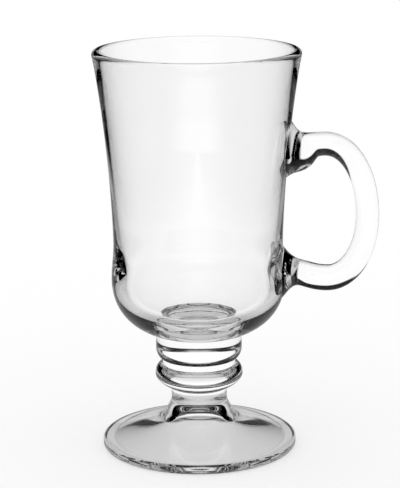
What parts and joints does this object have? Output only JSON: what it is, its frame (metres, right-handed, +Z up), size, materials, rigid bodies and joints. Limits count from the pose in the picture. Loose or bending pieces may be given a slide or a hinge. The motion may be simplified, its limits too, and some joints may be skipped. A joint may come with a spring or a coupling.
{
  "type": "irish coffee glass mug",
  "caption": "Clear glass mug for hot drinks: flared bowl on a short beaded stem, domed round foot and a D-shaped glass rod handle at the side.",
  "frame": {"origin": "on the mug's axis, at the level of the standing ring under the foot", "axes": "+Z up along the axis, +X towards the handle, +Y across the handle's plane"},
  "size_m": [0.1049, 0.0762, 0.15],
  "materials": {
    "clear_glass": "clear, fire polished, smooth"
  },
  "bodies": {
    "root": {"foot": "clear_glass", "stem": "clear_glass", "lower_knop": "clear_glass", "upper_knop": "clear_glass", "bowl": "clear_glass", "handle": "clear_glass"}
  },
  "joints": []
}
